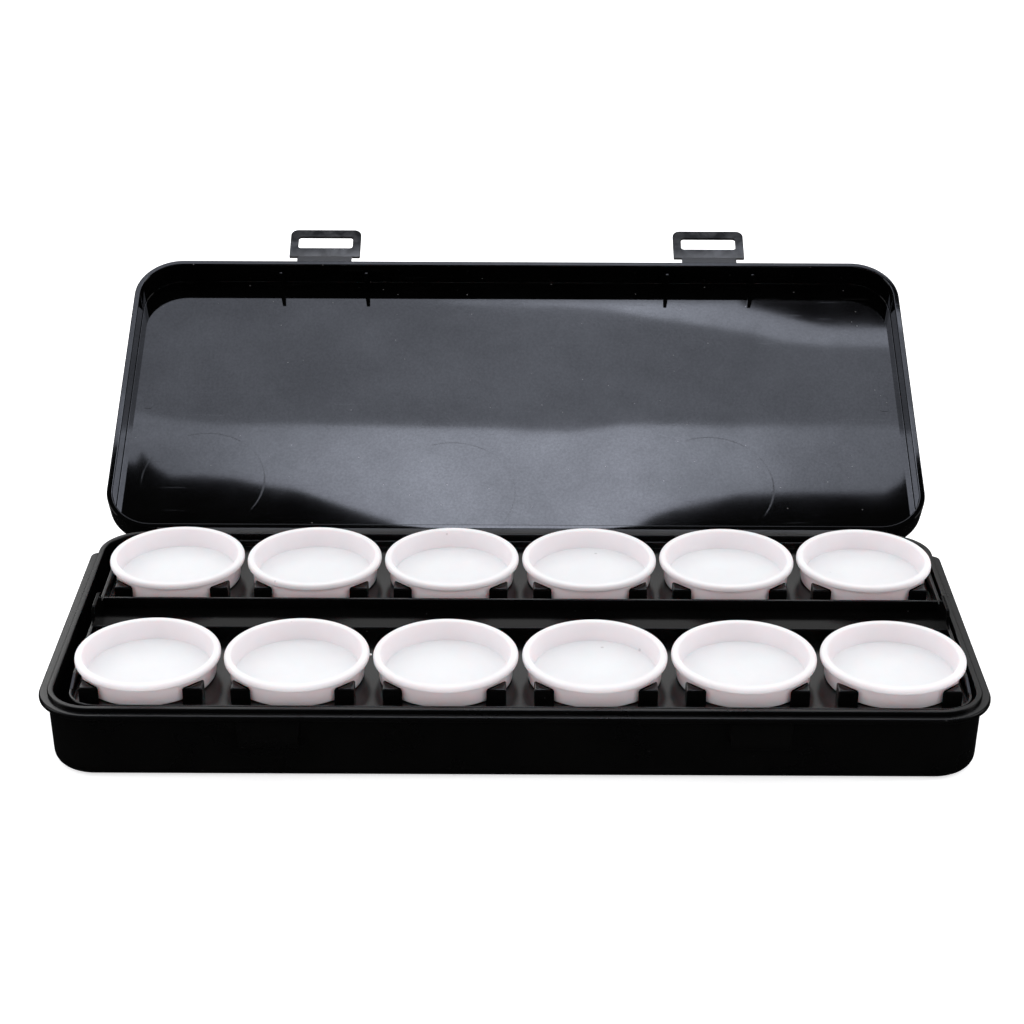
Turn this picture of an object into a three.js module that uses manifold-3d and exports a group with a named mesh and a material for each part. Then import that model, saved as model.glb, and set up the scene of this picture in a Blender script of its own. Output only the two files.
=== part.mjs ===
// Paint palette box: a black moulded case with its lid open, a lift-out tray and twelve white paint cups.
// Millimetres. X runs along the case, Y runs from the front to the hinge and Z is up.
// The origin is the centre of the base's flat underside.

import * as THREE from "three";
import { mergeVertices } from "three/addons/utils/BufferGeometryUtils.js";
import Module from "manifold-3d";

const wasm = await Module();
wasm.setup();

// Clearances
const restGap = 0.3; // between a piece and what it rests on, hinges to or hooks over
const overrun = 0.8; // how far a joined or cutting solid runs into or past a face

// Base
const baseHeight = 20.7; // to the top of the collar that the lid fits over
const baseCorner = 12.4; // plan radius of the walls' corners
const baseWall = 1.6;
const baseFloor = 1.8;
const baseDraft = 0.6; // how far the walls lean in from the flange to the underside
const baseFootRadius = 3.4;
const baseInnerRadius = 2;
const collarHeight = 1; // above the flange
const flangeReach = 2.2; // out from the wall
const flangeThickness = 1.4;
const flangeEdge = 0.4; // bevel under the flange's rim

// Ribs inside the base that carry the tray
const ribReach = 3.6; // in from the wall
const ribThickness = 1.2;
const ribEndGap = 4; // from the corner's curve to the last rib
const ribsPerWall = 5;

// Lid
const lidDepth = 9.7;
const lidPlate = 1.5;
const lidRimWall = 1.8; // at the rim
const lidWall = 1.5; // beside the plate
const lidDraft = 0.3; // how far the walls lean in from the rim to the plate
const lidEdgeRadius = 3.2;
const lidInnerRadius = 0.8;
const lidLean = THREE.MathUtils.degToRad(27.8); // the open lid's rim above level

// Film hinge between the base and the lid
const lidFilmWidth = 1.4; // from the flange's edge to the lid's rim, laid flat
const lidFilmEndGap = 2; // from the lid's corner curve to the film's end

// Latches: slotted tabs on the lid's front rim, each on a film of its own
const latchSpacing = 125;
const latchWidth = 23;
const latchThickness = 0.9;
const latchCorner = 2.3;
const latchRootCorner = 0.4;
const latchNeck = 4; // from the film to the slot
const latchSideBar = 2.65; // beside the slot
const latchTipBar = 3.2; // past the slot
const latchFilmWidth = 1.8; // from the lid's rim to the tab
const latchFilmThickness = 0.4;
const latchFold = THREE.MathUtils.degToRad(100); // from flat to closed
const slotWidth = 4.9;
const slotCorner = 0.9;

// Catches on the base's front wall, one for each latch
const catchReach = 2.6; // out from the wall at the lip
const catchRootReach = 0.6; // out from the wall under the flange
const catchLipHeight = 1.8;
const catchSideGap = 0.5; // to each end of the slot
const catchTaper = 0.75; // narrower at the lip, each side

// Stiffening gussets inside the lid's front wall, a pair for each latch
const gussetSideGap = 2.3; // past the latch's side
const gussetReach = 12;
const gussetThickness = 1.5;
const gussetDrop = 3.6; // from the rim to where the gusset starts

// Tray, sized to hold the cups
const trayEndGap = 0.2; // from the last cup's body to the tray's end wall
const traySideGap = 1.6; // from the cups' bodies to the tray's long walls
const traySlackLength = 2.3; // to the base's wall, each end, when centred
const traySlackWidth = 1.55; // to the base's wall, front and back, when centred
const trayRightShare = 0.64; // how much of its slack the tray has slid to the right
const trayBackShare = 0.25; // and to the back
const trayDrop = 2.7; // from the top of the base's collar to the tray's floor
const trayFloor = 1.2;
const trayCornerEase = 2.5; // how much tighter the tray's corners are than the base's inside corners
const trayWall = 1.1;
const trayEdgeHeight = 1.45; // above the tray's floor
const trayEdgeLean = 0.15; // how far the edge wall narrows to its top

// Brush channel between the two rows of cups
const channelWidth = 16.6; // between the middles of its two walls
const channelWall = 1;
const channelHeight = 3.1;
const channelGap = 0.6; // from the cups' rims to the channel's walls

// End rails of the tray, with a finger tab in the middle of each
const railSlope = 6; // run of the sloped stretch at each end
const tabWidth = 11;
const tabHeight = 6.85; // above the tray's floor
const tabCorner = 2.4;

// Cups
const cupsPerRow = 6;
const cupGap = 1; // between the rims of neighbours
const cupHeight = 6.2;
const cupRimRadius = 19;
const cupRimBand = 1.9; // height of the band round the rim
const cupRimEdge = 0.5; // rounding on top of the band
const cupRimWidth = 2;
const cupRimOverhang = 1.3; // of the band over the body
const cupTaper = 0.15; // how far the body narrows to the foot
const cupFootWall = 1.45; // beside the floor
const cupFloor = 0.9;

// Lugs that hold each cup, standing on the tray's floor
const lugSideInset = 1.8; // of the lug's outer face from the edge of the cup's body, along the row
const lugFrontInset = 2.65; // the same, across the row
const lugTip = 0.7; // thickness where the hollow face ends at the side face
const lugSeatGap = 0.6; // between a lug's hollow face and the cup's body
const lugRimGap = 1; // under the cup's band

// Smoothness
const cornerDetail = 4; // steps in an eighth of a turn
const cornerBevelSteps = 3;
const rootSteps = 2;
const cupSides = 32;
const filmSides = 8;
const lugSteps = 2;

// Colours and finishes
const caseBlack = { color: 0x0b0b0c, roughness: 0.42, metalness: 0 };
const lidBlack = { color: 0x0d0d0e, roughness: 0.24, metalness: 0 };
const trayBlack = { color: 0x101011, roughness: 0.34, metalness: 0 };
const latchGrey = { color: 0x1c1c1e, roughness: 0.45, metalness: 0 };
const filmGrey = { color: 0x202022, roughness: 0.5, metalness: 0 };
const cupWhite = { color: 0xf3eef0, roughness: 0.2, metalness: 0 };

// Sizes that follow from the cups: the cups fill the tray and the tray fits the base
const cupBodyRadius = cupRimRadius - cupRimOverhang; // under the band
const cupFootRadius = cupBodyRadius - cupTaper;
const cupFloorRadius = cupFootRadius - cupFootWall; // inside
const cupPitch = 2 * cupRimRadius + cupGap;
const rowPitch = channelWidth + channelWall + 2 * (cupRimRadius + channelGap);
const trayLength = (cupsPerRow - 1) * cupPitch + 2 * (cupBodyRadius + trayEndGap + trayWall);
const trayWidth = rowPitch + 2 * (cupBodyRadius + traySideGap + trayWall);
const baseLength = trayLength + 2 * (traySlackLength + baseWall); // over the walls
const baseWidth = trayWidth + 2 * (traySlackWidth + baseWall);

// Heights and places that follow from the sizes above
const flangeTop = baseHeight - collarHeight;
const flangeBottom = flangeTop - flangeThickness;
const lidLength = baseLength + 2 * flangeReach;
const lidWidth = baseWidth + 2 * flangeReach;
const lidCorner = baseCorner + flangeReach;
const hingeY = lidWidth / 2 + lidFilmWidth / 2;
const hingeZ = flangeTop + restGap / 2;
const lidRim = -restGap / 2; // the rim's level in the lid's own frame, mouth up
const lidFront = lidFilmWidth / 2 + lidWidth; // from the hinge to the front of the rim
const trayTop = baseHeight - trayDrop; // top of the tray's floor
const trayCorner = baseCorner - baseWall - trayCornerEase;
const cupFoot = trayTop + restGap;
const railLength = trayWidth - 2 * trayCorner;
const ribSpacing = (baseLength - 2 * (baseCorner + ribEndGap)) / (ribsPerWall - 1);
const lidFilmLength = lidLength - 2 * (lidCorner + lidFilmEndGap);
const slotLength = latchWidth - 2 * latchSideBar;
const slotFar = latchNeck + slotWidth; // from the tab's root to the slot's far side
const latchLength = slotFar + latchTipBar; // from the film to the tip

// A rounded rectangle as a list of points, drawn anticlockwise.
function roundedRectangle(length, width, radius) {
  const shape = new THREE.Shape();
  const right = length / 2 - radius;
  const back = width / 2 - radius;
  const corners = [[right, -back], [right, back], [-right, back], [-right, -back]];
  corners.forEach(([x, y], quarter) => {
    const start = ((quarter - 1) * Math.PI) / 2;
    shape.absarc(x, y, radius, start, start + Math.PI / 2, false);
  });
  return shape;
}

// One ring of a case wall: the outline drawn in by inset, at height z.
function wallRing(length, width, radius, inset, z) {
  const outline = roundedRectangle(length - 2 * inset, width - 2 * inset, radius - inset);
  return outline.getPoints(cornerDetail).map((p) => new THREE.Vector3(p.x, p.y, z));
}

// A closed solid through a stack of rings, from the first, which faces down, to the last, which faces up.
function loft(rings) {
  const count = rings[0].length;
  const index = [];
  for (let level = 0; level + 1 < rings.length; level += 1) {
    const low = level * count;
    const high = low + count;
    for (let i = 0; i < count; i += 1) {
      const j = (i + 1) % count;
      index.push(low + i, low + j, high + j, low + i, high + j, high + i);
    }
  }
  const last = (rings.length - 1) * count;
  for (let i = 1; i + 1 < count; i += 1) {
    index.push(0, i + 1, i, last, last + i, last + i + 1);
  }
  const geometry = new THREE.BufferGeometry();
  const positions = rings.flat().flatMap((p) => [p.x, p.y, p.z]);
  geometry.setAttribute("position", new THREE.Float32BufferAttribute(positions, 3));
  geometry.setIndex(index);
  return geometry;
}

// A shape drawn in X and Y and raised from z by height.
function raised(shape, height, z) {
  const options = { depth: height, bevelEnabled: false, curveSegments: cornerDetail };
  return new THREE.ExtrudeGeometry(shape, options).translate(0, 0, z);
}

// A shape drawn in Y and Z and run along X for a length, with its middle at x.
function alongX(shape, length, x) {
  const turn = new THREE.Matrix4().makeBasis(
    new THREE.Vector3(0, 1, 0),
    new THREE.Vector3(0, 0, 1),
    new THREE.Vector3(1, 0, 0),
  );
  return raised(shape, length, -length / 2).applyMatrix4(turn).translate(x, 0, 0);
}

// A shape drawn in X and Z and run along Y from front to back.
function alongY(shape, front, back) {
  return raised(shape, back - front, -back).rotateX(Math.PI / 2);
}

// A closed outline through a list of points.
function polygon(points) {
  return new THREE.Shape(points.map(([x, y]) => new THREE.Vector2(x, y)));
}

function toSolid(geometry) {
  const bare = geometry.clone();
  bare.deleteAttribute("normal");
  bare.deleteAttribute("uv");
  const welded = mergeVertices(bare);
  const vertProperties = new Float32Array(welded.attributes.position.array);
  const triVerts = new Uint32Array(welded.index.array);
  return new wasm.Manifold(new wasm.Mesh({ numProp: 3, vertProperties, triVerts }));
}

function toGeometry(solid) {
  const { vertProperties, triVerts } = solid.getMesh();
  const geometry = new THREE.BufferGeometry();
  geometry.setAttribute("position", new THREE.BufferAttribute(vertProperties, 3));
  geometry.setIndex(new THREE.BufferAttribute(triVerts, 1));
  geometry.computeVertexNormals();
  return geometry;
}

function joined(geometries) {
  return toGeometry(geometries.map(toSolid).reduce((whole, next) => whole.add(next)));
}

function shared(first, second) {
  return toGeometry(toSolid(first).intersect(toSolid(second)));
}

function piece(name, geometry, finish) {
  const mesh = new THREE.Mesh(geometry, new THREE.MeshStandardMaterial(finish));
  mesh.name = name;
  return mesh;
}

// Base: floor, drafted walls, flange for the lid's rim and a collar inside it.
function baseShell() {
  const ring = (inset, z) => wallRing(baseLength, baseWidth, baseCorner, inset, z);
  const lean = (z) => (baseDraft * (flangeBottom - z)) / flangeBottom;
  const foot = [];
  for (let step = 0; step <= cornerBevelSteps; step += 1) {
    const angle = (step / cornerBevelSteps) * (Math.PI / 2);
    const z = baseFootRadius * (1 - Math.cos(angle));
    foot.push(ring(lean(z) + baseFootRadius * (1 - Math.sin(angle)), z));
  }
  const floorCurve = [];
  for (let step = 0; step <= cornerBevelSteps; step += 1) {
    const angle = (step / cornerBevelSteps) * (Math.PI / 2);
    const z = baseFloor + baseInnerRadius * (1 - Math.sin(angle));
    floorCurve.push(ring(baseWall + lean(z) + baseInnerRadius * (1 - Math.cos(angle)), z));
  }
  return loft([
    ...foot,
    ring(0, flangeBottom),
    ring(flangeEdge - flangeReach, flangeBottom),
    ring(-flangeReach, flangeBottom + flangeEdge),
    ring(-flangeReach, flangeTop),
    ring(0, flangeTop),
    ring(0, baseHeight),
    ring(baseWall, baseHeight),
    ring(baseWall, flangeBottom),
    ...floorCurve,
  ]);
}

// Cut from the flange at one end of the back, where it stops short of the corner.
function flangeRelief(side) {
  const near = baseLength / 2 - baseCorner;
  const far = baseLength / 2 + flangeReach + overrun;
  const front = baseWidth / 2 - baseCorner;
  const back = baseWidth / 2 + flangeReach + overrun;
  const plan = [[near, front], [far, front], [far, back], [near, back]];
  const corner = polygon(plan.map(([x, y]) => [side * x, y]));
  const bottom = flangeBottom - overrun;
  const height = flangeThickness + 2 * overrun;
  const walls = raised(roundedRectangle(baseLength, baseWidth, baseCorner), height, bottom);
  return toSolid(raised(corner, height, bottom)).subtract(toSolid(walls));
}

// Points halfway into a shell's wall where it curves into its plate, from the wall to the plate.
// The middle of the curve lies at y, and the plate's outer face at z.
function rootCurve(y, z, edgeRadius, wall) {
  const radius = edgeRadius - wall / 2;
  const points = [];
  for (let step = 0; step <= rootSteps; step += 1) {
    const angle = (step / rootSteps) * (Math.PI / 2);
    points.push([y + radius * Math.cos(angle), z + edgeRadius - radius * Math.sin(angle)]);
  }
  return points;
}

// The ribs stand on the floor against the front and back walls, and stop just under the tray.
function baseRibs() {
  const wallInside = baseWidth / 2 - baseWall;
  const inner = wallInside - ribReach;
  const top = trayTop - trayFloor - restGap;
  const curveMiddle = baseWidth / 2 - baseDraft - baseFootRadius;
  const points = [
    [inner, top],
    [wallInside + baseWall / 2, top],
    ...rootCurve(curveMiddle, 0, baseFootRadius, baseWall),
    [inner, baseWall / 2],
  ];
  const ribs = [];
  for (const side of [-1, 1]) {
    const profile = polygon(points.map(([y, z]) => [side * y, z]));
    for (let i = 0; i < ribsPerWall; i += 1) {
      const x = (i - (ribsPerWall - 1) / 2) * ribSpacing;
      ribs.push(alongX(profile, ribThickness, x));
    }
  }
  return ribs;
}

// The lip's underside lies just above the latch's bar when the latch is folded down over the catch.
function catchLipBottom() {
  const past = latchFold - Math.PI / 2;
  const axisZ = flangeTop + restGap + latchFilmThickness / 2;
  const bar = latchFilmWidth / 2 + slotFar;
  return axisZ - bar * Math.cos(past) + (latchFilmThickness / 2) * Math.sin(past) + restGap;
}

// A catch: a wedge that swells from the flange down to a lip, seen from the side and from the front.
function baseCatch(x) {
  const wall = -baseWidth / 2;
  const lip = catchLipBottom();
  const top = flangeBottom + flangeEdge;
  const inside = wall + overrun;
  const side = polygon([
    [inside, lip],
    [wall - catchReach, lip],
    [wall - catchReach, lip + catchLipHeight],
    [wall - catchRootReach, flangeBottom],
    [wall - catchRootReach, top],
    [inside, top],
  ]);
  const rootHalf = slotLength / 2 - catchSideGap;
  const lipHalf = rootHalf - catchTaper;
  const front = polygon([[-lipHalf, lip], [lipHalf, lip], [rootHalf, top], [-rootHalf, top]]);
  const wedge = shared(alongX(side, 2 * slotLength, 0), alongY(front, wall - 2 * catchReach, inside));
  return wedge.translate(x, 0, 0);
}

function makeBase() {
  const catches = [-1, 1].map((side) => baseCatch((side * latchSpacing) / 2));
  const whole = toSolid(joined([baseShell(), ...baseRibs(), ...catches]));
  const shaped = [-1, 1].reduce((solid, side) => solid.subtract(flangeRelief(side)), whole);
  return piece("base", toGeometry(shaped), caseBlack);
}

// Lid, drawn mouth up in its own frame: the hinge line is its X axis and Y runs to the front of the rim.
function lidShell() {
  const middle = (lidFilmWidth + lidWidth) / 2;
  const bottom = lidRim - lidDepth;
  const plateTop = bottom + lidPlate;
  const ring = (inset, z) => wallRing(lidLength, lidWidth, lidCorner, inset, z);
  const lean = (z) => (lidDraft * (lidRim - z)) / lidDepth;
  const outer = [];
  const inner = [];
  for (let step = 0; step <= cornerBevelSteps; step += 1) {
    const angle = (step / cornerBevelSteps) * (Math.PI / 2);
    const z = bottom + lidEdgeRadius * (1 - Math.cos(angle));
    outer.push(ring(lean(z) + lidEdgeRadius * (1 - Math.sin(angle)), z));
  }
  for (let step = 0; step <= cornerBevelSteps; step += 1) {
    const angle = (step / cornerBevelSteps) * (Math.PI / 2);
    const z = plateTop + lidInnerRadius * (1 - Math.sin(angle));
    inner.push(ring(lean(z) + lidWall + lidInnerRadius * (1 - Math.cos(angle)), z));
  }
  const shell = loft([...outer, ring(0, lidRim), ring(lidRimWall, lidRim), ...inner]);
  return shell.translate(0, middle, 0);
}

// Three-cornered gussets between the lid's front wall and its plate, a pair beside each latch.
function lidGussets() {
  const bottom = lidRim - lidDepth;
  const inner = lidFront - lidRimWall - gussetReach;
  const curveMiddle = lidFront - lidDraft - lidEdgeRadius;
  const profile = polygon([
    [inner, bottom + lidWall / 2],
    [inner, bottom + lidPlate],
    [lidFront - lidRimWall / 2, lidRim - gussetDrop],
    ...rootCurve(curveMiddle, bottom, lidEdgeRadius, lidWall),
  ]);
  const gussets = [];
  for (const latchSide of [-1, 1]) {
    for (const side of [-1, 1]) {
      const x = (latchSide * latchSpacing + side * latchWidth) / 2 + side * gussetSideGap;
      gussets.push(alongX(profile, gussetThickness, x));
    }
  }
  return gussets;
}

function makeLid() {
  return piece("lid", joined([lidShell(), ...lidGussets()]), lidBlack);
}

// The films are thinned webs in the real moulding. Each is a piece that stops short of both sides it joins.
function makeLidFilm() {
  const radius = lidFilmWidth / 2 - restGap;
  const film = new THREE.CylinderGeometry(radius, radius, lidFilmLength, filmSides).rotateZ(Math.PI / 2);
  return piece("lid_hinge_film", film, filmGrey);
}

function makeLatchFilm(name) {
  const width = latchFilmWidth - 2 * restGap;
  return piece(name, new THREE.BoxGeometry(slotLength, width, latchFilmThickness), filmGrey);
}

// A latch, drawn in its own frame: its hinge line is the X axis, and Y runs from the film to the tip.
function latchOutline() {
  const root = latchFilmWidth / 2;
  const tip = root + latchLength;
  const half = latchWidth / 2;
  const near = root + latchRootCorner;
  const far = tip - latchCorner;
  const outline = new THREE.Shape();
  outline.absarc(half - latchRootCorner, near, latchRootCorner, -Math.PI / 2, 0, false);
  outline.absarc(half - latchCorner, far, latchCorner, 0, Math.PI / 2, false);
  outline.absarc(latchCorner - half, far, latchCorner, Math.PI / 2, Math.PI, false);
  outline.absarc(latchRootCorner - half, near, latchRootCorner, Math.PI, (3 * Math.PI) / 2, false);
  return outline;
}

function makeLatch(name) {
  const outline = latchOutline();
  const slotMiddle = latchFilmWidth / 2 + latchNeck + slotWidth / 2;
  const slot = roundedRectangle(slotLength, slotWidth, slotCorner).getPoints(cornerDetail);
  outline.holes.push(new THREE.Path(slot.map((p) => p.setY(p.y + slotMiddle))));
  const top = latchFilmThickness / 2;
  return piece(name, raised(outline, latchThickness, top - latchThickness), latchGrey);
}

// Tray: a floor with a low wall round its edge.
function trayShell() {
  const ring = (inset, z) => wallRing(trayLength, trayWidth, trayCorner, inset, z);
  return loft([
    ring(0, trayTop - trayFloor),
    ring(0, trayTop),
    ring(trayEdgeLean, trayTop + trayEdgeHeight),
    ring(trayWall - trayEdgeLean, trayTop + trayEdgeHeight),
    ring(trayWall, trayTop),
  ]);
}

// The rail on one short side stands taller than the tray's edge, and its middle rises to a finger tab.
function trayRail(side) {
  const half = railLength / 2;
  const bottom = trayTop - trayFloor / 2;
  const edge = trayTop + trayEdgeHeight;
  const rail = trayTop + channelHeight;
  const tabTop = trayTop + tabHeight - tabCorner;
  const tabInset = tabWidth / 2 - tabCorner;
  const outline = new THREE.Shape();
  outline.moveTo(-half, bottom);
  outline.lineTo(half, bottom);
  outline.lineTo(half, edge);
  outline.lineTo(half - railSlope, rail);
  outline.lineTo(tabWidth / 2, rail);
  outline.absarc(tabInset, tabTop, tabCorner, 0, Math.PI / 2, false);
  outline.absarc(-tabInset, tabTop, tabCorner, Math.PI / 2, Math.PI, false);
  outline.lineTo(-tabWidth / 2, rail);
  outline.lineTo(railSlope - half, rail);
  outline.lineTo(-half, edge);
  const thickness = trayWall - trayEdgeLean;
  return alongX(outline, thickness, (side * (trayLength - trayWall - trayEdgeLean)) / 2);
}

function trayChannelWall(side) {
  const middle = (side * channelWidth) / 2;
  const profile = polygon([
    [middle - channelWall / 2, trayTop - trayFloor / 2],
    [middle + channelWall / 2, trayTop - trayFloor / 2],
    [middle + channelWall / 2, trayTop + channelHeight],
    [middle - channelWall / 2, trayTop + channelHeight],
  ]);
  return alongX(profile, trayLength - trayWall, 0);
}

// A lug is a square corner with a hollow face that follows the cup. The sides say which quarter it stands in.
function trayLug(x, y, alongSide, acrossSide) {
  const seat = cupBodyRadius + lugSeatGap;
  const lugSide = cupBodyRadius - lugSideInset;
  const lugFront = cupBodyRadius - lugFrontInset;
  const start = Math.asin(lugFront / seat);
  const end = Math.acos((lugSide - lugTip) / seat);
  const points = [[lugSide, seat * Math.sin(end)], [lugSide, lugFront]];
  for (let step = 0; step <= lugSteps; step += 1) {
    const angle = start + ((end - start) * step) / lugSteps;
    points.push([seat * Math.cos(angle), seat * Math.sin(angle)]);
  }
  if (alongSide * acrossSide < 0) {
    points.reverse();
  }
  const outline = polygon(points.map(([px, py]) => [x + alongSide * px, y + acrossSide * py]));
  const top = cupFoot + cupHeight - cupRimBand - lugRimGap;
  const bottom = trayTop - trayFloor / 2;
  return raised(outline, top - bottom, bottom);
}

function cupPlaces() {
  const places = [];
  for (const [row, side] of [["front", -1], ["rear", 1]]) {
    for (let i = 0; i < cupsPerRow; i += 1) {
      const x = (i - (cupsPerRow - 1) / 2) * cupPitch;
      places.push({ name: `cup_${row}_${i + 1}`, x, y: (side * rowPitch) / 2 });
    }
  }
  return places;
}

function makeTray() {
  const solids = [trayShell()];
  for (const side of [-1, 1]) {
    solids.push(trayRail(side), trayChannelWall(side));
  }
  for (const { x, y } of cupPlaces()) {
    for (const [alongSide, acrossSide] of [[-1, -1], [1, -1], [-1, 1], [1, 1]]) {
      solids.push(trayLug(x, y, alongSide, acrossSide));
    }
  }
  return piece("insert_tray", joined(solids), trayBlack);
}

// A cup: a shallow round dish with a band round its rim.
function makeCup(name) {
  const band = cupHeight - cupRimBand;
  const profile = [
    [0, 0],
    [cupFootRadius, 0],
    [cupBodyRadius, band],
    [cupRimRadius, band],
    [cupRimRadius, cupHeight - cupRimEdge],
    [cupRimRadius - cupRimEdge, cupHeight],
    [cupRimRadius - cupRimWidth, cupHeight],
    [cupFloorRadius, cupFloor],
    [0, cupFloor],
  ];
  const points = profile.map(([x, y]) => new THREE.Vector2(x, y));
  return piece(name, new THREE.LatheGeometry(points, cupSides).rotateX(Math.PI / 2), cupWhite);
}

function lidGroup() {
  const group = new THREE.Group();
  group.position.set(0, hingeY, hingeZ);
  group.rotation.x = lidLean;
  group.add(makeLid());
  for (const [name, side] of [["left", -1], ["right", 1]]) {
    const latch = new THREE.Group();
    const filmMiddle = lidRim - latchFilmThickness / 2;
    latch.position.set((side * latchSpacing) / 2, lidFront + latchFilmWidth / 2, filmMiddle);
    latch.add(makeLatchFilm(`latch_${name}_film`), makeLatch(`latch_${name}`));
    group.add(latch);
  }
  return group;
}

function trayGroup() {
  const group = new THREE.Group();
  group.position.set(traySlackLength * trayRightShare, traySlackWidth * trayBackShare, 0);
  group.add(makeTray());
  for (const { name, x, y } of cupPlaces()) {
    const cup = makeCup(name);
    cup.position.set(x, y, cupFoot);
    group.add(cup);
  }
  return group;
}

const box = new THREE.Group();
const lidFilm = makeLidFilm();
lidFilm.position.set(0, hingeY, hingeZ);
box.add(makeBase(), lidFilm, lidGroup(), trayGroup());

export default box;
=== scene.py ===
"""Looks for the paint palette box: moulded black case, lid, latches and tray, and white cups.

Shapes are in millimetres here and become metres when a mesh is made. X runs along the case, Y from the
front to the hinge and Z is up. The origin is the centre of the base's underside. The lid's shapes are in
its own frame: X, then out from the hinge, then up from its plate to its rim. A profile or outline is a
list of points (across, up, corner radius). Materials, lights and the camera are in metres.
"""

import math

import bmesh
import bpy
from mathutils import Matrix, Vector


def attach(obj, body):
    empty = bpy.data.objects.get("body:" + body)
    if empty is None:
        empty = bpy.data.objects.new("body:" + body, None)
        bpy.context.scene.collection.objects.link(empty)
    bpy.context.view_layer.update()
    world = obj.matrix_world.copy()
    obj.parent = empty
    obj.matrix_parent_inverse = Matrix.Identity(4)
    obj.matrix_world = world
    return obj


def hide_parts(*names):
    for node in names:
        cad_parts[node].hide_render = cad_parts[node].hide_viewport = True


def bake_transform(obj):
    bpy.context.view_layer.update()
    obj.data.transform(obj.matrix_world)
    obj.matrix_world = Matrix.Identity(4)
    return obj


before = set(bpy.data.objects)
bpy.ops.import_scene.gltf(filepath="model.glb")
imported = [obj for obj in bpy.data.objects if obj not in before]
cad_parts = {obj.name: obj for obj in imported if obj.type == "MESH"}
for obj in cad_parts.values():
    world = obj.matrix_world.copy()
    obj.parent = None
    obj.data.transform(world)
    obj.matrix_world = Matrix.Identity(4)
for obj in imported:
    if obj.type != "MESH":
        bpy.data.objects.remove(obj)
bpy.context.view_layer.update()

MM = 0.001
UNTURNED = Matrix.Identity(4)
SHARP = math.radians(38)

# Sizes that the solids share
BASE_LENGTH, BASE_WIDTH, BASE_CORNER = 240.8, 103.9, 12.4
BASE_WALL, BASE_FLOOR, BASE_DRAFT, BASE_FOOT, BASE_INNER = 1.6, 1.8, 0.6, 3.4, 2.0
FLANGE_REACH, FLANGE_BOTTOM, FLANGE_TOP, BASE_TOP = 2.2, 18.3, 19.7, 20.7
LID_LENGTH, LID_WIDTH, LID_CORNER = 245.2, 108.3, 14.6
LID_DEPTH, LID_PLATE, LID_RIM_WALL, LID_WALL, LID_DRAFT = 9.7, 1.5, 1.8, 1.5, 0.3
LID_RIM, LID_LEAN = -0.15, math.radians(27.8)
LID_BOTTOM = LID_RIM - LID_DEPTH
LID_FACE = LID_BOTTOM + LID_PLATE
HINGE_Y, HINGE_Z = 54.85, 19.85
LID_MIDDLE, LID_FRONT = 54.85, 109.0
LATCH_X, LATCH_WIDTH, LATCH_LENGTH, LATCH_THICK = 62.5, 23.0, 12.1, 0.9
LATCH_FILM, SLOT_LENGTH, SLOT_WIDTH, LATCH_NECK = 1.8, 17.7, 4.9, 4.0
TRAY_LENGTH, TRAY_WIDTH, TRAY_CORNER, TRAY_EDGE = 233.0, 97.6, 8.3, 1.45
TRAY_X, TRAY_Y, TRAY_BOTTOM, TRAY_TOP = 1.472, 0.3875, 16.8, 18.0
CUP_PITCH, ROW_PITCH, CUP_FOOT, CUP_RIM = 39.0, 56.8, 18.3, 19.0

# Sizes that are only here
FLANGE_END = 1.8  # the length over which the flange rounds off where it stops
CORNER_STEPS = 20
TRAY_FLOOR, TRAY_ROOT = 17.4, 17.1  # the floor under the cups, and where what stands on it begins
CHANNEL_Y = 8.3  # the middle of each wall of the brush channel

LID_FRAME = Matrix.Translation((0, HINGE_Y, HINGE_Z)) @ Matrix.Rotation(LID_LEAN, 4, "X")
TRAY_FRAME = Matrix.Translation((TRAY_X, TRAY_Y, 0))


def lid_point(x, out, up):
    """A point of the lid's frame, in the part's frame."""
    return LID_FRAME @ Vector((x, out, up))


def sideways(x=0.0, y=0.0):
    """Stands a slab on edge: its own X, Y and Z become the part's Y, Z and X, moved by x and y."""
    return Matrix(((0, 0, 1, x), (1, 0, 0, y), (0, 1, 0, 0), (0, 0, 0, 1)))


# Outlines and meshes


def rounded(points, steps):
    """An open line with each corner (x, y, radius) replaced by an arc."""
    line = []
    for i, (x, y, radius) in enumerate(points):
        if radius == 0 or i in (0, len(points) - 1):
            line.append((x, y))
            continue
        corner = Vector((x, y))
        before = Vector(points[i - 1][:2]) - corner
        after = Vector(points[i + 1][:2]) - corner
        half = before.angle(after) / 2
        cut = min(radius / math.tan(half), 0.49 * before.length, 0.49 * after.length)
        radius = cut * math.tan(half)
        before.normalize()
        after.normalize()
        centre = corner + (before + after).normalized() * (radius / math.sin(half))
        first = corner + before * cut - centre
        last = corner + after * cut - centre
        sweep = first.angle(last)
        for step in range(steps + 1):
            t = step / steps
            point = first * math.sin((1 - t) * sweep) + last * math.sin(t * sweep)
            line.append(tuple(centre + point / math.sin(sweep)))
    return line


def rounded_loop(points, steps=4):
    """A closed line with each corner (x, y, radius) replaced by an arc."""
    line = []
    for i, point in enumerate(points):
        line += rounded([points[i - 1], point, points[(i + 1) % len(points)]], steps)[1:-1]
    return line


def block(half, low, high, low_radius, high_radius, steps=4):
    """The rounded outline of a block that is 2 * half wide and reaches from low to high."""
    return rounded_loop([
        (-half, low, low_radius), (half, low, low_radius),
        (half, high, high_radius), (-half, high, high_radius),
    ], steps)


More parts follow.
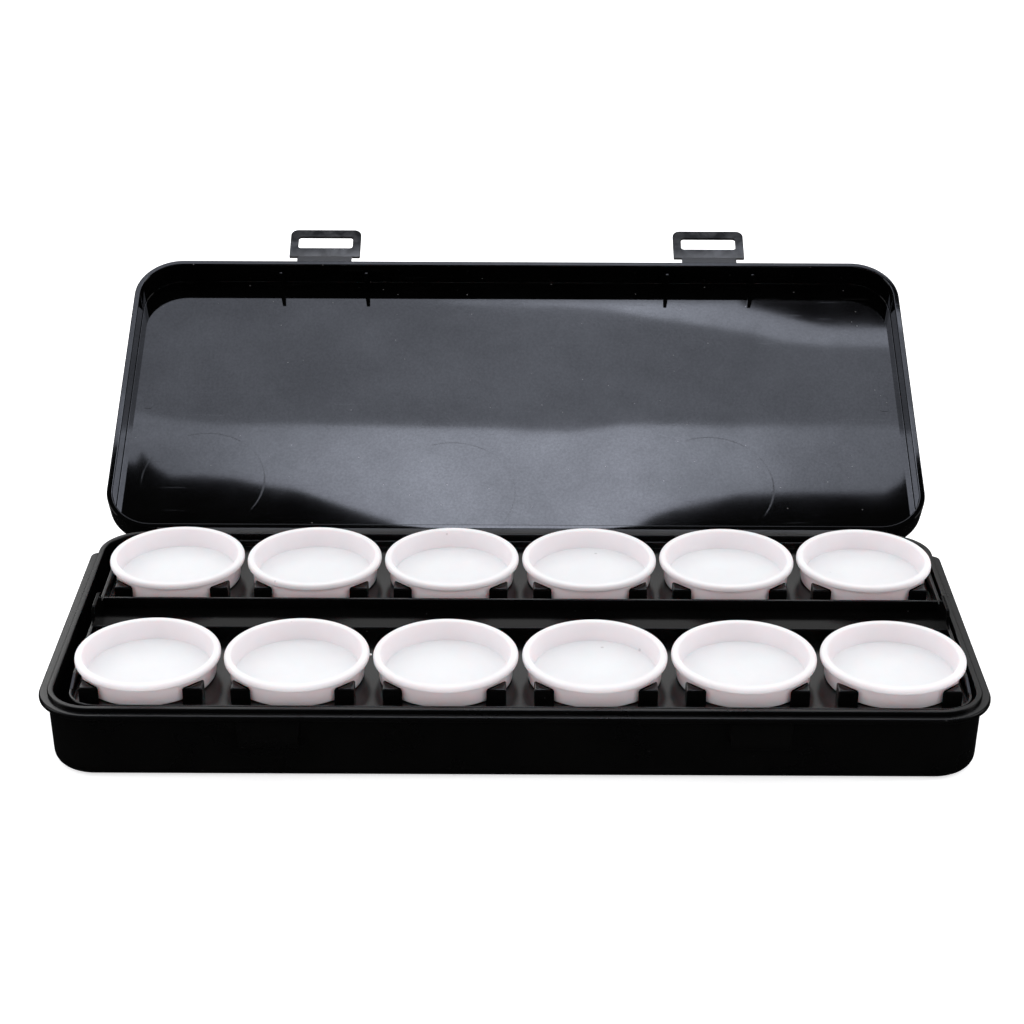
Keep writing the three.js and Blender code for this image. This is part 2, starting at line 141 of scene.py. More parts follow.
def rectangle(length, width, radius, inset):
    """Points round a rounded rectangle drawn in by inset, anticlockwise."""
    radius = max(radius - inset, 0.1)
    right, back = length / 2 - inset - radius, width / 2 - inset - radius
    points = []
    for quarter, (x, y) in enumerate([(right, -back), (right, back), (-right, back), (-right, -back)]):
        for step in range(CORNER_STEPS + 1):
            angle = (quarter - 1 + step / CORNER_STEPS) * math.pi / 2
            points.append((x + radius * math.cos(angle), y + radius * math.sin(angle)))
    return points


def bridge(bm, rings):
    """Quads between each closed ring and the next, which all have the same count of points."""
    for low, high in zip(rings, rings[1:]):
        for i in range(len(low)):
            j = (i + 1) % len(low)
            bm.faces.new((low[i], low[j], high[j], high[i]))


def loft(bm, rings):
    """A closed body through rings, with the first and the last ring capped."""
    bridge(bm, rings)
    bm.faces.new(list(reversed(rings[0])))
    bm.faces.new(rings[-1])


def shell(bm, profile, length, width, radius):
    """A closed shell: the profile of (inset, z) points carried round a rounded rectangle."""
    rings = []
    for inset, z in profile:
        rings.append([bm.verts.new((x, y, z)) for x, y in rectangle(length, width, radius, inset)])
    loft(bm, rings)


def lathe(bm, profile, sides=96):
    """A closed turned body from (radius, z) points that start and end on the axis."""
    angles = [2 * math.pi * i / sides for i in range(sides)]
    rings = []
    for radius, z in profile[1:-1]:
        rings.append([bm.verts.new((radius * math.cos(a), radius * math.sin(a), z)) for a in angles])
    bridge(bm, rings)
    for ring, z, flip in ((rings[0], profile[0][1], True), (rings[-1], profile[-1][1], False)):
        middle = bm.verts.new((0, 0, z))
        for i in range(sides):
            a, b = ring[i], ring[(i + 1) % sides]
            bm.faces.new((b, a, middle) if flip else (a, b, middle))


def drawn_in(outline, amount):
    """A closed outline of plain points moved inwards by amount."""
    points = [Vector(p) for p in outline]
    moved = []
    for i, p in enumerate(points):
        a = (p - points[i - 1]).normalized()
        b = (points[(i + 1) % len(points)] - p).normalized()
        side_a, side_b = Vector((-a.y, a.x)), Vector((-b.y, b.x))
        side = (side_a + side_b).normalized()
        moved.append(p + side * (amount / max(side.dot(side_a), 0.4)))
    return moved


def slab(bm, outline, bottom, top, matrix=UNTURNED, bevel=0.25, steps=3):
    """A plate with this outline in its own X and Y, from bottom to top, with rounded edges."""
    turns = [step / steps * math.pi / 2 for step in range(steps + 1)]
    levels = [(bevel * (1 - math.sin(a)), bottom + bevel * (1 - math.cos(a))) for a in turns]
    levels += [(bevel * (1 - math.cos(a)), top - bevel * (1 - math.sin(a))) for a in turns]
    rings = []
    for amount, z in levels:
        rings.append([bm.verts.new(matrix @ Vector((p.x, p.y, z))) for p in drawn_in(outline, amount)])
    loft(bm, rings)


def finish_mesh(name, bm, matrix, body, material):
    """Turns a bmesh in millimetres into a shaded piece in metres that rides on a body.

    A piece with no body is left unattached.
    """
    bm.transform(Matrix.Scale(MM, 4) @ matrix)
    bmesh.ops.recalc_face_normals(bm, faces=bm.faces)
    for face in bm.faces:
        face.smooth = True
    for edge in bm.edges:
        if len(edge.link_faces) == 2 and edge.calc_face_angle(0) > SHARP:
            edge.smooth = False
    mesh = bpy.data.meshes.new(name)
    bm.to_mesh(mesh)
    bm.free()
    piece = bpy.data.objects.new(name, mesh)
    bpy.context.scene.collection.objects.link(piece)
    weighted = piece.modifiers.new("even_shading", "WEIGHTED_NORMAL")
    weighted.keep_sharp = True
    weighted.weight = 100
    mesh.materials.append(material)
    if body:
        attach(piece, body)
    return piece


# Materials


class Nodes:
    """Shortens the making of a node tree. A value may be a plain value or the socket that feeds it."""

    def __init__(self, tree):
        self.tree = tree

    def feed(self, socket, value):
        """Links a socket to what feeds it, or sets its value."""
        if isinstance(value, bpy.types.NodeSocket):
            self.tree.links.new(value, socket)
        else:
            socket.default_value = value

    def new(self, kind, inputs=None, **settings):
        node = self.tree.nodes.new(kind)
        for key, value in settings.items():
            setattr(node, key, value)
        for key, value in (inputs or {}).items():
            self.feed(node.inputs[key], value)
        return node

    def noise(self, place, scale, detail, roughness, distortion=0.0):
        inputs = {
            "Vector": place, "Scale": scale, "Detail": detail, "Roughness": roughness,
            "Distortion": distortion,
        }
        return self.new("ShaderNodeTexNoise", inputs).outputs["Fac"]

    def ramp(self, value, low, high, to_low=0.0, to_high=1.0):
        """Carries low to high over to to_low to to_high with soft ends."""
        inputs = {"Value": value, "From Min": low, "From Max": high, "To Min": to_low, "To Max": to_high}
        return self.new("ShaderNodeMapRange", inputs, interpolation_type="SMOOTHSTEP").outputs["Result"]

    def math(self, operation, a, b=0.0):
        return self.new("ShaderNodeMath", {0: a, 1: b}, operation=operation).outputs[0]

    def times(self, a, b):
        return self.math("MULTIPLY", a, b)

    def vector(self, operation, a, b=None):
        """A vector node, for the output that its caller picks."""
        inputs = {0: a} if b is None else {0: a, 1: b}
        return self.new("ShaderNodeVectorMath", inputs, operation=operation)

    def along(self, vector, axis):
        """One of a vector's X, Y and Z."""
        return self.new("ShaderNodeSeparateXYZ", {"Vector": vector}).outputs[axis]

    def mix(self, factor, a, b):
        """Colour a at factor 0 and colour b at factor 1."""
        return self.new("ShaderNodeMix", {0: factor, 6: a, 7: b}, data_type="RGBA").outputs[2]

    def bump(self, height, distance, strength=1.0, normal=None):
        inputs = {"Height": height, "Distance": distance, "Strength": strength}
        if normal is not None:
            inputs["Normal"] = normal
        return self.new("ShaderNodeBump", inputs).outputs["Normal"]


def start_material(name, surface="ShaderNodeBsdfPrincipled"):
    """A material with its shader wired up, and the place on the object that its patterns follow."""
    material = bpy.data.materials.new(name)
    material.use_nodes = True
    tree = material.node_tree
    tree.nodes.clear()
    nodes = Nodes(tree)
    output = nodes.new("ShaderNodeOutputMaterial")
    shader = nodes.new(surface)
    tree.links.new(shader.outputs[0], output.inputs["Surface"])
    place = nodes.new("ShaderNodeTexCoord").outputs["Object"]
    return material, nodes, shader, place


def feed_shader(nodes, shader, colour, roughness, specular, normal):
    """Feeds the four inputs that every plastic here varies or sets."""
    nodes.feed(shader.inputs["Base Color"], colour)
    nodes.feed(shader.inputs["Roughness"], roughness)
    nodes.feed(shader.inputs["Specular IOR Level"], specular)
    nodes.feed(shader.inputs["Normal"], normal)


def grey(value, warm=0.0):
    """A grey, a little warmer or, below 0, a little cooler."""
    return (value * (1 + warm), value, value * (1 - warm), 1)


def specks(nodes, place, scale, share):
    """A mask of small scattered dust specks, in this share of the cells."""
    cells = nodes.new("ShaderNodeTexVoronoi", {"Vector": place, "Scale": scale, "Randomness": 1.0})
    near = nodes.ramp(cells.outputs["Distance"], 0.10, 0.16, 1.0, 0.0)
    pick = nodes.new("ShaderNodeSeparateColor", {"Color": cells.outputs["Color"]}).outputs[0]
    return nodes.times(near, nodes.math("LESS_THAN", pick, share))


def black_plastic(name, tone, roughness, grain, waves, dust, specular=0.5, channel=None):
    """Black moulded plastic: cloudy gloss, a fine moulded grain, slow waves from shrinkage and dust.

    channel is the sheen of a smoother strip along the middle, between the walls of the brush channel.
    """
    material, nodes, shader, place = start_material(name)
    cloud = nodes.noise(place, scale=55, detail=4, roughness=0.6)
    fine = nodes.noise(place, scale=2600, detail=2, roughness=0.6)
    slow = nodes.noise(place, scale=16, detail=1, roughness=0.4)
    dust_mask = specks(nodes, place, 900, dust)
    dark = nodes.mix(nodes.ramp(cloud, 0.3, 0.75), grey(tone), grey(tone * 1.6, 0.02))
    colour = nodes.mix(nodes.times(dust_mask, 0.35), dark, grey(0.12))
    gloss = nodes.ramp(cloud, 0.2, 0.85, roughness * 0.93, roughness * 1.12)
    gloss = nodes.math("ADD", gloss, nodes.times(dust_mask, 0.3))
    if channel:
        wall_start, wall_end = 0.0078, 0.0086
        across = nodes.math("ABSOLUTE", nodes.along(place, "Y"))
        gloss = nodes.times(gloss, nodes.ramp(across, wall_start, wall_end, 0.6, 1.0))
        specular = nodes.ramp(across, wall_start, wall_end, channel, specular)
    normal = nodes.bump(slow, waves)
    normal = nodes.bump(fine, grain, 0.6, normal)
    feed_shader(nodes, shader, colour, gloss, specular, normal)
    return material


def cup_scuffs(nodes, place):
    """A mask of broken, round scuffs that cup rims left on the plate's inner face."""
    ring_width = 0.0004
    # The middle of each ring and its radius
    rings = (
        (-0.0955, 0.0805, 0.0239, 0.0188),
        (-0.0195, 0.0771, 0.0221, 0.0193),
        (0.0595, 0.0795, 0.0234, 0.0191),
    )
    scuffs = None
    for x, y, z, radius in rings:
        offset = nodes.vector("ADD", place, (-x, -y, -z)).outputs[0]
        reach = nodes.vector("LENGTH", offset).outputs["Value"]
        off_ring = nodes.math("ABSOLUTE", nodes.math("SUBTRACT", reach, radius))
        broken = nodes.ramp(nodes.noise(offset, scale=70, detail=1, roughness=0.5), 0.47, 0.62)
        ring = nodes.times(nodes.ramp(off_ring, 0.0, ring_width, 1.0, 0.0), broken)
        scuffs = ring if scuffs is None else nodes.math("MAXIMUM", scuffs, ring)
    # Heights along the lid's own up, both within the plate, so that its outer face stays clean
    lid_up, low, high = (0, -0.4664, 0.8846), -0.0173, -0.0169
    height = nodes.vector("DOT_PRODUCT", place, lid_up).outputs["Value"]
    return nodes.times(scuffs, nodes.ramp(height, low, high))


def lid_plastic():
    """The lid's polished black: a hard gloss with slow waves, faint round scuffs, hairlines and dust."""
    material, nodes, shader, place = start_material("lid_black")
    cloud = nodes.noise(place, scale=45, detail=5, roughness=0.65)
    slow = nodes.noise(place, scale=14, detail=1.5, roughness=0.45)
    fine = nodes.noise(place, scale=1900, detail=2, roughness=0.6)
    dust = specks(nodes, place, 620, 0.03)
    stretch = {"Vector": place, "Rotation": (0.3, 0.2, 0.5), "Scale": (60, 1400, 900)}
    stretched = nodes.new("ShaderNodeMapping", stretch).outputs[0]
    hairlines = nodes.ramp(nodes.noise(stretched, scale=1.0, detail=1, roughness=0.4), 0.735, 0.76)
    marks = nodes.math("MAXIMUM", nodes.times(hairlines, 0.25), nodes.times(cup_scuffs(nodes, place), 0.7))
    dark = nodes.mix(nodes.ramp(cloud, 0.3, 0.75), grey(0.0005), grey(0.001, -0.03))
    dark = nodes.mix(nodes.times(marks, 0.06), dark, grey(0.2))
    colour = nodes.mix(nodes.times(dust, 0.35), dark, grey(0.3))
    gloss = nodes.ramp(cloud, 0.25, 0.8, 0.035, 0.05)
    gloss = nodes.math("ADD", gloss, nodes.times(marks, 0.17))
    mottle = nodes.ramp(nodes.noise(place, scale=32, detail=4, roughness=0.62), 0.25, 0.75, 0.42, 0.56)
    grain = nodes.ramp(nodes.noise(place, scale=1300, detail=2, roughness=0.7), 0.25, 0.75, 0.88, 1.12)
    normal = nodes.bump(slow, 0.00005)
    normal = nodes.bump(fine, 0.0000006, 0.5, normal)
    feed_shader(nodes, shader, colour, gloss, nodes.times(mottle, grain), normal)
    return material


def latch_plastic():
    """The tabs' thin black, mottled by handling and a little paler towards the film that bends."""
    material, nodes, shader, place = start_material("latch_black")
    blotch = nodes.noise(place, scale=210, detail=3, roughness=0.6, distortion=0.6)
    fine = nodes.noise(place, scale=2200, detail=2, roughness=0.6)
    slow = nodes.noise(place, scale=130, detail=1, roughness=0.4)
    height = nodes.along(place, "Z")
    bend = nodes.ramp(height, 0.0705, 0.0735, 1.0, 0.0)
    dark = nodes.mix(nodes.ramp(blotch, 0.32, 0.68), grey(0.001), grey(0.028))
    colour = nodes.mix(nodes.times(bend, 0.7), dark, grey(0.07))
    gloss = nodes.ramp(blotch, 0.3, 0.7, 0.5, 0.28)
    specular = nodes.ramp(height, 0.0712, 0.0762, 0.8, 0.2)
    normal = nodes.bump(slow, 0.0001)
    normal = nodes.bump(fine, 0.000012, 0.6, normal)
    feed_shader(nodes, shader, colour, gloss, specular, normal)
    return material


def cup_plastic():
    """Satin white cup plastic, slightly pink, translucent and softly clouded, with painted shade: darker,
    pinker sides and lighter flat faces.
    """
    material, nodes, shader, place = start_material("cup_white")
    cloud = nodes.noise(place, scale=70, detail=3, roughness=0.55)
    fine = nodes.noise(place, scale=1500, detail=2, roughness=0.5)
    slow = nodes.noise(place, scale=45, detail=1, roughness=0.4)
    facing = nodes.new("ShaderNodeNewGeometry").outputs["Normal"]
    # Painted light and shade: faces that lie flat get a lighter tint and the sides a darker, pinker one,
    # chosen by which way each face points.
    flat = nodes.ramp(nodes.math("ABSOLUTE", nodes.along(facing, "Z")), 0.45, 0.97)
    clouding = nodes.ramp(cloud, 0.3, 0.7)
    painted_side_shade = nodes.mix(clouding, (0.85, 0.80, 0.822, 1), (0.88, 0.83, 0.855, 1))
    painted_flat_light = nodes.mix(clouding, (0.90, 0.875, 0.895, 1), (0.93, 0.905, 0.92, 1))
    dust = specks(nodes, place, 300, 0.03)
    colour = nodes.mix(nodes.times(dust, 0.35), nodes.mix(flat, painted_side_shade, painted_flat_light), (0.35, 0.3, 0.3, 1))
    gloss = nodes.ramp(cloud, 0.2, 0.8, 0.38, 0.5)
    normal = nodes.bump(slow, 0.00006)
    normal = nodes.bump(fine, 0.000008, 0.5, normal)
    feed_shader(nodes, shader, colour, gloss, 0.5, normal)
    shader.inputs["Subsurface Weight"].default_value = 0.5
    shader.inputs["Subsurface Radius"].default_value = (0.0022, 0.0014, 0.0013)
    shader.inputs["Subsurface Scale"].default_value = 1.0
    return material


case_black = black_plastic(
    "case_black", tone=0.0005, roughness=0.28, grain=0.00001, waves=0.00012, dust=0.006)
film_black = black_plastic(
    "film_black", tone=0.022, roughness=0.4, grain=0.00001, waves=0.0001, dust=0.004)
tray_black = black_plastic(
    "tray_black", tone=0.0012, roughness=0.22, grain=0.000006, waves=0.0001, dust=0.008, specular=0.52,
    channel=0.1)
latch_black = latch_plastic()
lid_black = lid_plastic()
cup_white = cup_plastic()


# Base


def make_base():
    """The lower case half: floor, drafted walls and the collar that stands above the flange."""
    bm = bmesh.new()
    flat_start = 9
    profile = rounded([
        (flat_start, 0, 0),
        (BASE_DRAFT, 0, BASE_FOOT),
        (0, FLANGE_BOTTOM, 2),
        (0, BASE_TOP, 0.35),
        (BASE_WALL, BASE_TOP, 0.4),
        (BASE_WALL + BASE_DRAFT, BASE_FLOOR, BASE_INNER),
        (flat_start, BASE_FLOOR, 0),
    ], 6)
    shell(bm, profile, BASE_LENGTH, BASE_WIDTH, BASE_CORNER)
    piece = finish_mesh("base_shell", bm, UNTURNED, "base", case_black)
    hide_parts("base")


def flange_run(bm, stations):
    """A flange along part of the wall. A station is a point on the wall, the way out and the reach."""
    root = -0.5
    rings = []
    for place, out, reach in stations:
        line = rounded_loop([
            (root, FLANGE_BOTTOM, 0.1), (reach, FLANGE_BOTTOM, 0.4), (reach, FLANGE_TOP, 0.55),
            (root, FLANGE_TOP, 0.1),
        ])
        rings.append([bm.verts.new((place + out * far).to_3d() + Vector((0, 0, z))) for far, z in line])
    loft(bm, rings)


def end_reach(gone):
    """How far the flange reaches near its end, where it rounds off into the wall."""
    share = min(gone / FLANGE_END, 1)
    return FLANGE_REACH * max(math.sqrt(1 - (1 - share) ** 2), 0.12)


def make_flange():
    """The flange runs round the front and both sides and stops short of the back corners.

    A separate stretch along the back wall carries the hinge's web.
    """
    right, back = BASE_LENGTH / 2 - BASE_CORNER, BASE_WIDTH / 2 - BASE_CORNER
    end = [0, 0.1, 0.3, 0.6, 1.0, 1.4, FLANGE_END]
    lead = end + [20, 50]
    stations = [(Vector((-BASE_LENGTH / 2, back - s)), Vector((-1, 0)), end_reach(s)) for s in lead]
    for x, start in ((-right, math.pi), (right, 1.5 * math.pi)):
        for step in range(CORNER_STEPS + 1):
            angle = start + step / CORNER_STEPS * math.pi / 2
            out = Vector((math.cos(angle), math.sin(angle)))
            stations.append((Vector((x, -back)) + out * BASE_CORNER, out, FLANGE_REACH))
    lead.reverse()
    stations += [(Vector((BASE_LENGTH / 2, back - s)), Vector((1, 0)), end_reach(s)) for s in lead]
    bm = bmesh.new()
    flange_run(bm, stations)
    rear, out = BASE_WIDTH / 2, Vector((0, 1))
    places = [s - right for s in end] + [right - s for s in reversed(end)]
    flange_run(bm, [(Vector((x, rear)), out, end_reach(right - abs(x))) for x in places])
    finish_mesh("base_flange", bm, UNTURNED, "base", case_black)


def make_ribs():
    """The ribs that carry the tray, rooted in the wall and the floor."""
    count, depth, half_thick, foot, top = 5, 3.6, 0.6, 0.9, 16.5
    inner = BASE_WIDTH / 2 - BASE_WALL - depth
    root = inner + 4.4
    spacing = (BASE_LENGTH - 2 * (BASE_CORNER + 4)) / (count - 1)
    outline = rounded_loop([
        (inner, foot, 0.1), (inner + depth, foot, 1.5), (root, 5, 1), (root, top, 0.1), (inner, top, 0.5),
    ])
    bm = bmesh.new()
    for side in (-1, 1):
        line = [(side * y, z) for y, z in outline]
        if side < 0:
            line.reverse()
        for i in range(count):
            x = (i - (count - 1) / 2) * spacing
            slab(bm, line, -half_thick, half_thick, sideways(x), 0.15, 2)
    finish_mesh("base_ribs", bm, UNTURNED, "base", case_black)


def make_catches():
    """The wedge that each latch hooks under, with softly rounded edges."""
    wall = -BASE_WIDTH / 2
    root, reach, slope_end = wall + 0.8, 2.6, 0.6
    half, lip, lip_height = 8.35, 10.88, 1.8
    levels = [
        (half - 0.75, reach, lip), (half - 0.72, reach, lip + lip_height), (half, slope_end, FLANGE_BOTTOM),
        (half, slope_end, FLANGE_BOTTOM + 0.4),
    ]
    for name, side in (("left", -1), ("right", 1)):
        bm = bmesh.new()
        rings = []
        for end, out, z in levels:
            corners = [(-end, root), (-end, wall - out), (end, wall - out), (end, root)]
            rings.append([bm.verts.new((side * LATCH_X + x, y, z)) for x, y in corners])
        loft(bm, rings)
        bmesh.ops.recalc_face_normals(bm, faces=bm.faces)
        bmesh.ops.bevel(bm, geom=bm.edges[:], offset=0.3, segments=3, profile=0.5, affect="EDGES")
        finish_mesh(f"base_catch_{name}", bm, UNTURNED, "base", case_black)


# Lid


def make_lid():
    """The upper case half: a flat plate and drafted walls up to the rim."""
    bm = bmesh.new()
    flat_start = 12
    profile = rounded([
        (flat_start, LID_BOTTOM, 0),
        (LID_DRAFT, LID_BOTTOM, 3.2),
        (0, LID_RIM, 0.35),
        (LID_RIM_WALL, LID_RIM, 0.35),
        (LID_DRAFT + LID_WALL, LID_FACE, 0.25),
        (flat_start, LID_FACE, 0),
    ], 8)
    shell(bm, profile, LID_LENGTH, LID_WIDTH, LID_CORNER)
    place = LID_FRAME @ Matrix.Translation((0, LID_MIDDLE, 0))
    piece = finish_mesh("lid_shell", bm, place, "lid", lid_black)
    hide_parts("lid")


def make_stiffeners():
    """The stiffeners beside each latch: short ribs on the wall that end in a tooth just below the rim.

    Each is thinner towards the rim, as a moulded rib is.
    """
    wall = LID_FRONT - LID_RIM_WALL
    rooted, face, tooth = wall + 0.9, wall - 3.7, LID_RIM - 0.3
    foot = LID_FACE - 0.7
    line = rounded_loop([
        (rooted, LID_FACE + 2, 0.1), (rooted, LID_RIM - 4.2, 0.1), (wall - 2.3, LID_RIM - 1.25, 0.1),
        (wall - 3.1, tooth, 0.2), (face, tooth, 0.3), (face, foot, 0.1), (wall - 1.5, foot, 0.1),
    ])
    from_latch, half_thick = 13.8, 0.75
    bm = bmesh.new()
    for latch_side in (-1, 1):
        for side in (-1, 1):
            x = latch_side * LATCH_X + side * from_latch
            slab(bm, line, -half_thick, half_thick, sideways(x))
            for vert in bm.verts:
                if abs(vert.co.x - x) < 1:
                    share = (vert.co.z - LID_FACE) / (LID_RIM - LID_FACE)
                    vert.co.x = x + (vert.co.x - x) * (1.3 - 0.6 * share)
    finish_mesh("lid_gussets", bm, LID_FRAME, "lid", lid_black)


def make_mould_marks():
    """A faint raised mark on the plate beside each short wall of the lid."""
    bm = bmesh.new()
    line = block(1.3, -3.2, 3.2, 0.5, 0.5)
    for side in (-1, 1):
        slab(bm, line, -0.3, 0.06, Matrix.Translation((side * 115.2, 56.5, LID_FACE)), 0.05, 2)
    finish_mesh("lid_mould_marks", bm, LID_FRAME, "lid", lid_black)


# Latches and films


def latch_outlines():
    """The tab's outline and its slot, out from the middle of the film."""
    root = LATCH_FILM / 2
    near = root + LATCH_NECK
    tab = block(LATCH_WIDTH / 2, root, root + LATCH_LENGTH, 0.4, 2.3, 8)
    slot = block(SLOT_LENGTH / 2, near, near + SLOT_WIDTH, 0.9, 0.9, 8)
    return tab, slot


def make_latch(name, side):
    """A slotted tab with rounded edges, filled from a flat curve so that the slot stays open."""
    edge = 0.2
    curve = bpy.data.curves.new(f"{name}_outline", "CURVE")
    curve.dimensions = "2D"
    curve.fill_mode = "BOTH"
    curve.extrude = LATCH_THICK / 2 - edge
    curve.bevel_depth = edge
    curve.bevel_resolution = 3
    curve.offset = -edge
    for outline in latch_outlines():
        spline = curve.splines.new("POLY")
        spline.points.add(len(outline) - 1)
        for point, (x, y) in zip(spline.points, outline):
            point.co = (x, y, 0, 1)
        spline.use_cyclic_u = True
    holder = bpy.data.objects.new(f"{name}_curve", curve)
    bpy.context.scene.collection.objects.link(holder)
    bpy.context.view_layer.update()
    mesh = bpy.data.meshes.new_from_object(holder.evaluated_get(bpy.context.evaluated_depsgraph_get()))
    bm = bmesh.new()
    bm.from_mesh(mesh)
    bpy.data.objects.remove(holder)
    bpy.data.curves.remove(curve)
    bpy.data.meshes.remove(mesh)
    bmesh.ops.remove_doubles(bm, verts=bm.verts, dist=0.001)
    bmesh.ops.translate(bm, verts=bm.verts, vec=(0, 0, edge - LATCH_THICK / 2))
    place = LID_FRAME @ Matrix.Translation((side * LATCH_X, LID_FRONT + LATCH_FILM / 2, LID_RIM - edge))
    piece = finish_mesh(f"{name}_tab", bm, place, name, latch_black)
    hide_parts(name)


def strip(name, path, half, thickness, node):
    """A thin web across a hinge, between two bodies. It follows the path and runs along X.

    Its ends along X are thinner than its middle, which rounds them.
    """
    bm = bmesh.new()
    columns = []
    for i, (x, y, z) in enumerate(path):
        a, b = Vector(path[max(i - 1, 0)]), Vector(path[min(i + 1, len(path) - 1)])
        along = (b - a).normalized()
        normal = Vector((0, -along.z, along.y))
        middle = Vector((x, y, z))
        column = []
        for share in (-1, -0.94, 0.94, 1):
            thin = thickness * (0.35 if abs(share) == 1 else 0.5)
            place = middle + Vector((share * half, 0, 0))
            column.append([bm.verts.new(place + normal * thin * s) for s in (-1, 1)])
        columns.append(column)
    for c0, c1 in zip(columns, columns[1:]):
        for k in range(3):
            bm.faces.new((c0[k][1], c0[k + 1][1], c1[k + 1][1], c1[k][1]))
            bm.faces.new((c0[k][0], c1[k][0], c1[k + 1][0], c0[k + 1][0]))
        for k in (0, 3):
            bm.faces.new((c0[k][0], c0[k][1], c1[k][1], c1[k][0]))
    for column in (columns[0], columns[-1]):
        for k in range(3):
            bm.faces.new((column[k][0], column[k + 1][0], column[k + 1][1], column[k][1]))
    piece = finish_mesh(name, bm, UNTURNED, None, film_black)
    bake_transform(piece)
    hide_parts(node)


def make_films():
    """The lid's web, which bends from the flange's edge to the rim, and the flat web of each latch."""
    reach, bend = 1.2, 0.7
    first = Vector((0, HINGE_Y - reach, HINGE_Z - 0.42))
    middle = Vector((0, HINGE_Y, HINGE_Z - 0.35))
    last = lid_point(0, reach, LID_RIM - 0.27)
    steps = 12
    path = []
    for step in range(steps + 1):
        t = step / steps
        path.append(tuple(first * (1 - t) ** 2 + middle * (2 * t * (1 - t)) + last * t * t))
    strip("lid_hinge_web", path, 106, 0.36, "lid_hinge_film")

    lap, run, steps = 0.4, 2.5, 10
    for name, side in (("left", -1), ("right", 1)):
        x = side * LATCH_X
        path = []
        for step in range(steps + 1):
            path.append(tuple(lid_point(x, LID_FRONT - lap + step / steps * run, LID_RIM - 0.22)))
        strip(f"latch_{name}_web", path, 8.85, 0.4, f"latch_{name}_film")


# Tray


def tray_rail(bm, side):
    """The rail at one end of the tray, with a finger tab in its middle."""
    half = TRAY_WIDTH / 2 - TRAY_CORNER
    slope_end, tab_half = half - 6, 5.5
    edge, rail, tab = TRAY_TOP + TRAY_EDGE, TRAY_TOP + 3.1, TRAY_TOP + 6.85
    line = rounded_loop([
        (-half, TRAY_ROOT, 0.1), (half, TRAY_ROOT, 0.1), (half, edge, 0.5), (slope_end, rail, 1.2),
        (tab_half, rail, 0.8), (tab_half, tab, 2.4), (-tab_half, tab, 2.4), (-tab_half, rail, 0.8),
        (-slope_end, rail, 1.2), (-half, edge, 0.5),
    ], 5)
    inset, half_thick = 0.625, 0.475
    slab(bm, line, -half_thick, half_thick, sideways(side * (TRAY_LENGTH / 2 - inset)), 0.2, 3)


def tray_channel(bm):
    """The two walls of the brush channel and its raised floor."""
    wall_half, wall_top = 0.5, 21.1
    wall_end, floor_end = TRAY_LENGTH / 2 - 0.55, TRAY_LENGTH / 2 - 0.6
    wall = block(wall_half, TRAY_ROOT, wall_top, 0.1, 0.3)
    for side in (-1, 1):
        slab(bm, wall, -wall_end, wall_end, sideways(0, side * CHANNEL_Y), 0.05, 1)
    raised = block(CHANNEL_Y, TRAY_ROOT, TRAY_TOP, 0.1, 0.1, 2)
    slab(bm, raised, -floor_end, floor_end, sideways(), 0.05, 1)


def tray_lug(bm, x, y, along, across):
    """A corner lug with a hollow face towards the cup and a softly rounded top."""
    seat, side, front, top = 18.3, 15.9, 15.05, 21.6
    start, end = math.asin(front / seat), math.acos((side - 0.7) / seat)
    tip, steps = 0.25, 6
    points = [(side, seat * math.sin(end), tip), (side, front, 0.45)]
    for step in range(steps + 1):
        angle = start + (end - start) * step / steps
        points.append((seat * math.cos(angle), seat * math.sin(angle), tip if step in (0, steps) else 0))
    line = []
    for i, point in enumerate(points):
        if point[2]:
            line += rounded([points[i - 1], point, points[(i + 1) % len(points)]], 3)[1:-1]
        else:
            line.append(point[:2])
    line = [(x + along * px, y + across * py) for px, py in line]
    if along * across < 0:
        line.reverse()
    slab(bm, line, TRAY_ROOT, top, bevel=0.5)


def cup_places():
    """The name and the place in the tray of each cup."""
    for row, side in (("front", -1), ("rear", 1)):
        for i in range(6):
            yield f"cup_{row}_{i + 1}", (i - 2.5) * CUP_PITCH, side * ROW_PITCH / 2


def make_tray():
    """The tray: a low edge, a rail at each end, the brush channel and four lugs round each cup."""
    bm = bmesh.new()
    flat_start, edge = 9, TRAY_TOP + TRAY_EDGE
    profile = rounded([
        (flat_start, TRAY_BOTTOM, 0), (0, TRAY_BOTTOM, 0.45), (0.15, edge, 0.3), (0.95, edge, 0.3),
        (1.15, TRAY_FLOOR, 0.4), (flat_start, TRAY_FLOOR, 0),
    ], 5)
    shell(bm, profile, TRAY_LENGTH, TRAY_WIDTH, TRAY_CORNER)
    for side in (-1, 1):
        tray_rail(bm, side)
    tray_channel(bm)
    for _, x, y in cup_places():
        for along, across in ((-1, -1), (1, -1), (-1, 1), (1, 1)):
            tray_lug(bm, x, y, along, across)
    piece = finish_mesh("tray_moulding", bm, TRAY_FRAME, "tray", tray_black)
    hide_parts("insert_tray")


# Cups


